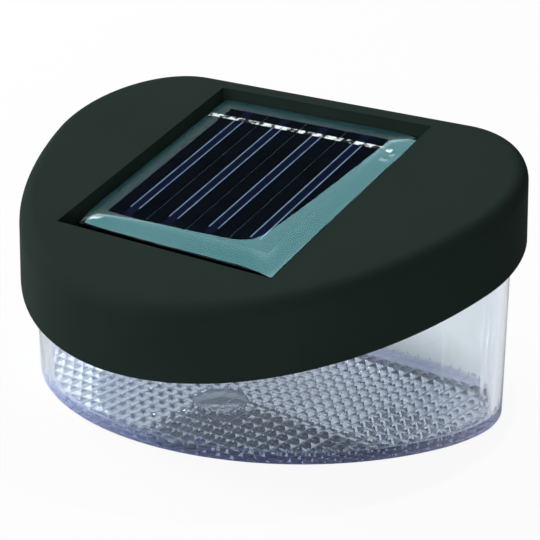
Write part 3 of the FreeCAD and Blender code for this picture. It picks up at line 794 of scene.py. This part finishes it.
# ---- the solar panel --------------------------------------------------------------------------------------
@dataclass
class SolarPanel:
    """Board, four strips of silicon and the resin over them."""

    width: float = 51.0 * MM
    length: float = 50.8 * MM
    middle: Vector = field(default_factory=lambda: Vector((-0.5, 7.0, -2.67)) * MM)
    cuts: int = 66                    # squares of the sheet along each side
    rim_height: float = 0.42 * MM
    even_rise: float = 0.74 * MM      # what the lip gains evenly over its width
    bulge: float = 0.9 * MM           # what it gains more near the edge, before a third of it is left
    run_out: float = 0.15             # share of the lip's width in which its slope dies away
    steps: int = 80                   # rings in which the sheet is raised
    front_lip: float = 5.4 * MM
    front_taper: float = 4.2 * MM     # what the front lip loses towards the left
    right_lip: float = 4.7 * MM
    right_growth: float = 5.8 * MM    # what the right lip gains towards the front
    left_lip: float = 1.5 * MM
    back_lip: float = 2.0 * MM
    crease: float = 50.0              # degrees above which an edge of the resin stays crisp
    # Corners drawn out, because the epoxy climbed the recess there: side in u and v, the move in mm, its reach in mm.
    flares: tuple = ((1, -1, (0.1, -1.1, 0.0), 9.0), (1, 1, (0.8, 0.0, 0.0), 22.0), (-1, -1, (0.5, 0.3, 0.0), 12.0))
    resin: CastResin = CastResin("clear_epoxy", "f4fafa", "3cf2ff")
    silicon: Silicon = Silicon("coated_silicon", "05070c", "090d16", "10142a")
    # Lines of fired silver paste, which go blue-grey under the resin, with faint painted glints and painted shade.
    silver: PrintedSilver = PrintedSilver("silver_print", "6f8dab", "5b7893", shaded_share=0.4)
    # Strips of tinned copper, soldered by hand: painted glints as light beads, and painted shade as dark gaps between
    # them.
    ribbon: PrintedSilver = PrintedSilver("tinned_ribbon", "e8efef", "1a2024", patch_mm=1.6, shaded_share=0.5)
    # Glass-fibre board under a black solder mask, which the resin wets: no sheen and no grain are left.
    board: MouldedPlastic = MouldedPlastic("black_solder_mask", "06080a", "080a0d", grain_depth_mm=0.0, specular=0.0)
    # Bead of white silicone sealant, cured to a satin skin.
    sealant: MouldedPlastic = MouldedPlastic("sealant", "b9b9b2", "aeaea8", roughness=0.6)

    def reach(self, place: Vector) -> float:
        """How far a point lies in from the resin's edge, as a share of the lip's width there.

        Args:
            place: a point of the slab, from its middle.

        Returns:
            0 at the edge and 1 where the lip ends; the sides are blended round the corners.
        """
        across = place.x / self.width + 0.5
        along = place.y / self.length + 0.5
        front = along * self.length / (self.front_lip - self.front_taper * (1 - across) ** 5)
        right = (1 - across) * self.width / (self.right_lip + self.right_growth * (1 - along) ** 1.8)
        left = across * self.width / self.left_lip
        back = (1 - along) * self.length / self.back_lip
        blend = sum(max(share, 1e-4) ** -4 for share in (front, right, left, back))
        return blend ** -0.25

    def height(self, reach: float) -> float:
        """Height of the resin over its edge: steeper at the edge, flat beyond the lip.

        Args:
            reach: how far in the point lies, as a share of the lip's width.

        Returns:
            The height in metres.
        """
        lip = min(reach, 1.0)
        rise = self.even_rise * lip + self.bulge * (1 - (1 - lip) ** 3) / 3
        past = min(max(reach - 1.0, 0.0), self.run_out)
        return rise + self.even_rise * (past - past ** 2 / (2 * self.run_out))

    def build(self) -> None:
        """Models the resin: a fine sheet, raised ring by ring to a soft dome and closed underneath."""
        bpy.ops.object.select_all(action="DESELECT")
        bpy.ops.mesh.primitive_grid_add(x_subdivisions=self.cuts, y_subdivisions=self.cuts, size=1.0)
        piece = start_piece("panel_resin")
        piece.scale = (self.width, self.length, 1.0)
        bpy.ops.object.transform_apply(location=False, rotation=False, scale=True)
        self.raise_dome(piece)
        self.draw_corners(piece)
        self.close(piece)
        piece.matrix_world = to_slope() @ Matrix.Translation(self.middle + Vector((0.0, 0.0, self.rim_height)))
        bpy.ops.object.shade_smooth_by_angle(angle=math.radians(self.crease))
        bpy.ops.object.transform_apply(location=True, rotation=True, scale=True)
        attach(piece, CAP_BODY)
        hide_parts("epoxy_cover")
        dress(piece, self.resin.material())
        LOG.info("%s: %d faces", piece.name, len(piece.data.polygons))

    def raise_dome(self, piece: bpy.types.Object) -> None:
        """Lifts the flat sheet ring by ring, each a little further in, and evens out the steps."""
        reaches = [self.reach(vertex.co) for vertex in piece.data.vertices]
        stride = (1.0 + self.run_out) / self.steps
        for step in range(self.steps):
            pick(piece, lambda vertex: reaches[vertex.index] > (step + 0.5) * stride)
            lift = self.height((step + 1) * stride) - self.height(step * stride)
            bpy.ops.transform.translate(value=(0.0, 0.0, lift))
        bpy.ops.mesh.select_all(action="SELECT")
        bpy.ops.mesh.vertices_smooth(factor=0.5, repeat=4, xaxis=False, yaxis=False, zaxis=True)

    def draw_corners(self, piece: bpy.types.Object) -> None:
        """Draws the flared corners out of the sheet."""
        for side_u, side_v, move, reach in self.flares:
            corner = (side_u * self.width / 2, side_v * self.length / 2)
            pick(piece, lambda vertex: math.dist(vertex.co.xy, corner) < 1e-5)
            bpy.ops.transform.translate(value=[part * MM for part in move], use_proportional_edit=True,
                                        proportional_edit_falloff="SHARP", proportional_size=reach * MM)

    def close(self, piece: bpy.types.Object) -> None:
        """Pulls the sheet's edge down into a rim and closes it with a flat bottom."""
        pick(piece, lambda vertex: vertex.is_boundary)
        bpy.ops.mesh.extrude_region_move(TRANSFORM_OT_translate={"value": (0.0, 0.0, -self.rim_height)})
        bpy.ops.mesh.edge_face_add()
        bpy.ops.transform.resize(value=(1.0, 1.0, 0.0))
        bpy.ops.mesh.select_all(action="SELECT")
        bpy.ops.mesh.normals_make_consistent(inside=False)
        select_only(piece)

    def finish(self) -> None:
        """Dresses the board, the cells and their silver."""
        dress_nodes(self.silicon, *(f"solar_cell_{number}" for number in (1, 2, 3, 4)))
        dress_nodes(self.silver, "cell_busbars")
        dress_nodes(self.ribbon, "tab_ribbons")
        dress_nodes(self.board, "panel_board")
        dress_nodes(self.sealant, "panel_adhesive")


# ---- inside the pod ---------------------------------------------------------------------------------------
@dataclass
class Electronics:
    """Battery, board, LEDs and wires."""

    # Drawn cans and stamped contacts, nickel plated: warm grey and fairly bright.
    nickel: PlatedSteel = PlatedSteel("nickel_plated_steel", "a3a19b", roughness=0.28)
    # LED bodies cast in clear epoxy with a trace of yellow from the phosphor under it.
    led_epoxy: ClearStyrene = ClearStyrene("led_epoxy", "fbf3d8", ior=1.5)
    # Heat-shrunk film, drawn tight and glossy over the battery.
    sleeve: MouldedPlastic = MouldedPlastic("shrink_film", "2f6b49", "35724f", roughness=0.3, specular=0.5)
    # Green solder mask, screened on wet, so it sets glossy.
    mask: MouldedPlastic = MouldedPlastic("green_solder_mask", "1c5a34", "226239", roughness=0.35, specular=0.5)
    # Moulded black nylon, plain and satin.
    nylon: MouldedPlastic = MouldedPlastic("black_nylon", "141414", "1a1a1a")
    # Choke dipped in grey-green lacquer, which sets in a smooth skin.
    lacquer: MouldedPlastic = MouldedPlastic("dipped_lacquer", "5f8f74", "577f68", roughness=0.35)
    # Chip in filled epoxy from a dull mould: nearly black and matte.
    compound: MouldedPlastic = MouldedPlastic("moulding_compound", "101113", "151618", roughness=0.55)
    # Soft extruded insulation: even and slightly shiny.
    red_wire: MouldedPlastic = MouldedPlastic("red_insulation", "b31d18", "a11a15", roughness=0.35)
    black_wire: MouldedPlastic = MouldedPlastic("black_insulation", "131313", "191919", roughness=0.35)

    def finish(self) -> None:
        """Dresses the nodes in the pod."""
        dress_nodes(self.nickel, "battery_cell", "positive_contact", "negative_contact", "contact_spring",
                    "switch_body", "led_leads")
        dress_nodes(self.led_epoxy, "led_left", "led_right")
        dress_nodes(self.sleeve, "battery_sleeve")
        dress_nodes(self.mask, "circuit_board")
        dress_nodes(self.nylon, "switch_slider")
        dress_nodes(self.lacquer, "choke")
        dress_nodes(self.compound, "driver_chip")
        dress_nodes(self.red_wire, "panel_wire_red", "battery_wire_red")
        dress_nodes(self.black_wire, "panel_wire_black", "battery_wire_black")


def main() -> None:
    """Builds the scene piece by piece."""
    logging.basicConfig(level=logging.INFO, format="%(name)s: %(message)s")
    Studio().build()
    Cap().finish()
    LensCup().finish()
    panel = SolarPanel()
    panel.build()
    panel.finish()
    Electronics().finish()


if __name__ == "__main__":
    main()
